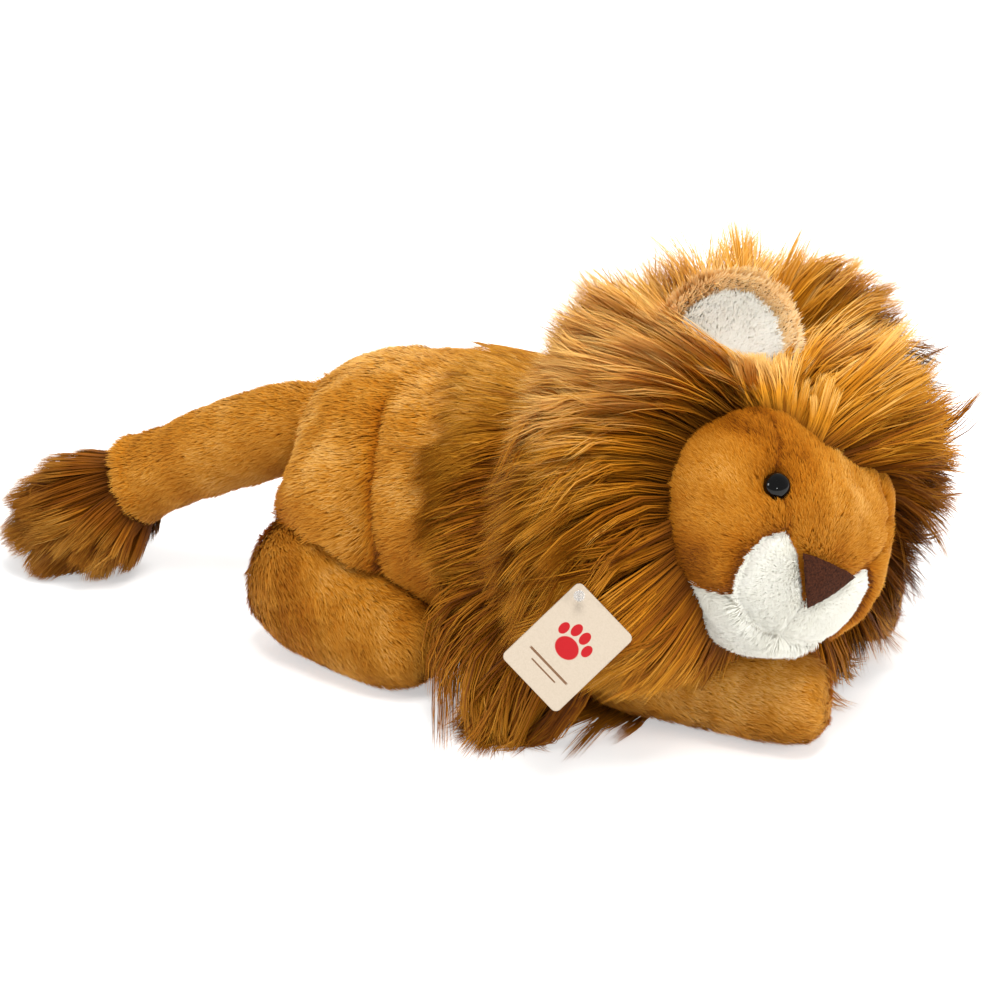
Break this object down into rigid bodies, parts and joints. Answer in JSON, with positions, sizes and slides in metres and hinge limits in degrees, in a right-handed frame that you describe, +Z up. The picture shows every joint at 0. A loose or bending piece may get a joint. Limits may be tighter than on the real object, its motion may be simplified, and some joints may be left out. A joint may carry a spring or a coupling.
{
  "type": "plush lion",
  "caption": "Plush lion lying on its belly, head turned and resting over a forepaw, with a long mane, round ears, tufted tail and a folded swing tag.",
  "frame": {"origin": "middle of the width of the flat patch that the belly rests on, near its front end", "axes": "+X the way the torso faces, +Y the lion's left, +Z up from the floor"},
  "size_m": [0.4684, 0.2581, 0.2316],
  "materials": {
    "golden_plush": "short dense plush pile",
    "long_mane_plush": "long pile",
    "white_plush": "short clipped pile",
    "polyester_fibre": "loose fibre filling",
    "brown_felt": "felt",
    "black_resin": "polished",
    "washer_plastic": "moulded",
    "tag_card": "uncoated card",
    "clear_nylon": "translucent"
  },
  "bodies": {
    "torso": {"torso_cover": "golden_plush", "torso_filling": "polyester_fibre", "haunch_right": "golden_plush", "haunch_left": "golden_plush", "shoulder_mane": "long_mane_plush"},
    "head": {"head_cover": "golden_plush", "head_filling": "polyester_fibre", "muzzle_right": "white_plush", "muzzle_left": "white_plush", "chin": "white_plush", "nose_patch": "brown_felt", "eye_right": "black_resin", "eye_left": "black_resin", "eye_washer_right": "washer_plastic", "eye_washer_left": "washer_plastic", "face_mane": "long_mane_plush", "tag_pin": "clear_nylon"},
    "ear_right": {"ear_back_right": "golden_plush", "ear_lining_right": "white_plush"},
    "ear_left": {"ear_back_left": "golden_plush", "ear_lining_left": "white_plush"},
    "foreleg_right": {"foreleg_right_cover": "golden_plush", "foreleg_right_filling": "polyester_fibre"},
    "foreleg_left": {"foreleg_left_cover": "golden_plush", "foreleg_left_filling": "polyester_fibre"},
    "hindleg_right": {"hindleg_right_cover": "golden_plush", "hindleg_right_filling": "polyester_fibre"},
    "hindleg_left": {"hindleg_left_cover": "golden_plush", "hindleg_left_filling": "polyester_fibre"},
    "tail": {"tail_cover": "golden_plush", "tail_filling": "polyester_fibre", "tail_tuft": "long_mane_plush"},
    "tag": {"tag_back_leaf": "tag_card", "tag_page": "tag_card"},
    "tag_leaf": {"tag_front_leaf": "tag_card"}
  },
  "joints": [
    {"name": "head_turn", "type": "hinge", "parent": "torso", "child": "head", "pos_m": [0.022, 0, 0.095], "axis": [0, 0, 1], "range_deg": [-7, 10], "stiffness_Nm_per_rad": 0.4},
    {"name": "ear_right_fold", "type": "hinge", "parent": "head", "child": "ear_right", "pos_m": [0.04859, -0.02288, 0.1641], "axis": [0.7675, 0.5842, -0.2639], "range_deg": [-15, 15], "stiffness_Nm_per_rad": 0.05},
    {"name": "ear_left_fold", "type": "hinge", "parent": "head", "child": "ear_left", "pos_m": [0.08262, 0.02486, 0.1223], "axis": [0.0863, 0.6136, -0.7849], "range_deg": [-15, 15], "stiffness_Nm_per_rad": 0.05},
    {"name": "foreleg_right_splay", "type": "hinge", "parent": "torso", "child": "foreleg_right", "pos_m": [0.006, -0.05, 0.03], "axis": [0, 0, 1], "range_deg": [-15, 0], "stiffness_Nm_per_rad": 0.2},
    {"name": "foreleg_left_splay", "type": "hinge", "parent": "torso", "child": "foreleg_left", "pos_m": [0.006, 0.05, 0.03], "axis": [0, 0, 1], "range_deg": [0, 15], "stiffness_Nm_per_rad": 0.2},
    {"name": "hindleg_right_splay", "type": "hinge", "parent": "torso", "child": "hindleg_right", "pos_m": [-0.144, -0.05, 0.04], "axis": [0, 0, 1], "range_deg": [-15, 0], "stiffness_Nm_per_rad": 0.2},
    {"name": "hindleg_left_splay", "type": "hinge", "parent": "torso", "child": "hindleg_left", "pos_m": [-0.144, 0.05, 0.04], "axis": [0, 0, 1], "range_deg": [0, 15], "stiffness_Nm_per_rad": 0.2},
    {"name": "tail_swing", "type": "hinge", "parent": "torso", "child": "tail", "pos_m": [-0.15, 0, 0.106], "axis": [0, 0, 1], "range_deg": [-20, 20], "stiffness_Nm_per_rad": 0.1},
    {"name": "tag_swing", "type": "hinge", "parent": "head", "child": "tag", "pos_m": [0.02244, -0.11998, 0.09933], "axis": [0.3172, -0.8275, 0.4633], "range_deg": [-12, 12]},
    {"name": "tag_open", "type": "hinge", "parent": "tag", "child": "tag_leaf", "pos_m": [0.0072, -0.13228, 0.09017], "axis": [-0.5597, -0.5577, -0.6129], "range_deg": [0, 25], "stiffness_Nm_per_rad": 0.002}
  ]
}
